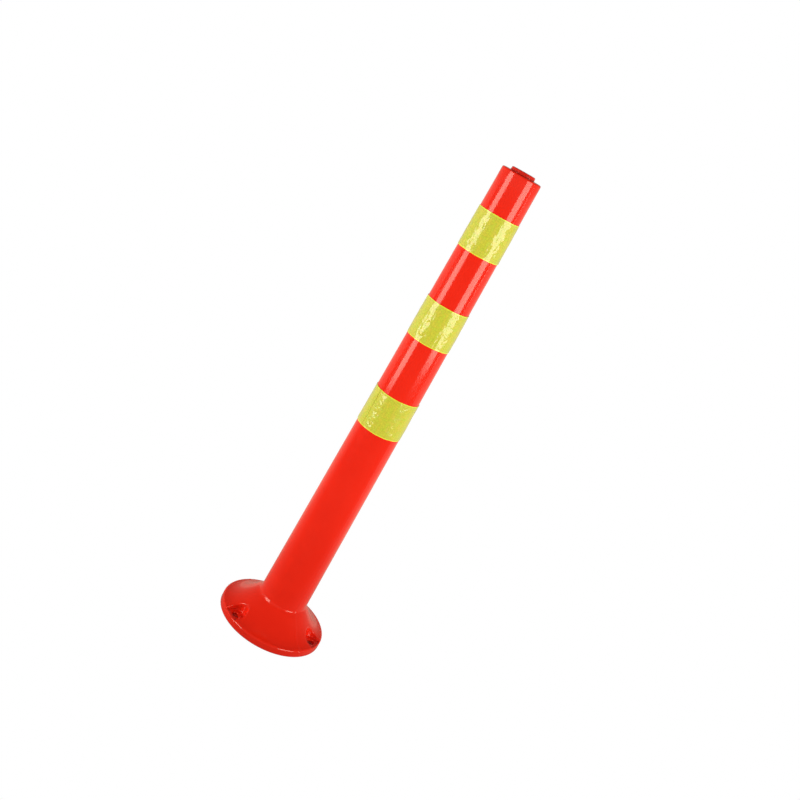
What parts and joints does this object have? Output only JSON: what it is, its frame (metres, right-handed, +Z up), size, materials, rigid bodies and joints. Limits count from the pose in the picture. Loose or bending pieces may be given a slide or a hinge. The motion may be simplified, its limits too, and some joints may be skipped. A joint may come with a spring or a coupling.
{
  "type": "flexible delineator post",
  "caption": "Flexible delineator post: hollow tapered tube on a round domed anchor flange, with reflective bands and a press-in top plug; the root bends over and springs back.",
  "frame": {"origin": "centre of the flange's underside, on the ground", "axes": "+Z up along the tube; one anchor pocket points along -Y; the mould parting plane is the XZ plane"},
  "size_m": [0.164, 0.164, 0.75],
  "materials": {
    "post_moulding": "glossy orange-red moulded polyurethane",
    "reflective_film": "glossy lime-yellow prismatic reflective film",
    "plug_moulding": "glossy red moulded plug"
  },
  "bodies": {
    "base": {"base_flange": "post_moulding", "flex_root": "post_moulding"},
    "post": {"post_tube": "post_moulding", "reflective_band_top": "reflective_film", "reflective_band_middle": "reflective_film", "reflective_band_bottom": "reflective_film", "top_plug": "plug_moulding"}
  },
  "joints": [
    {"name": "root_bend", "type": "hinge", "parent": "base", "child": "post", "pos_m": [0, 0, 0.12], "axis": [0, 1, 0], "range_deg": [-90, 90], "stiffness_Nm_per_rad": 15, "deforming": ["flex_root"]}
  ]
}
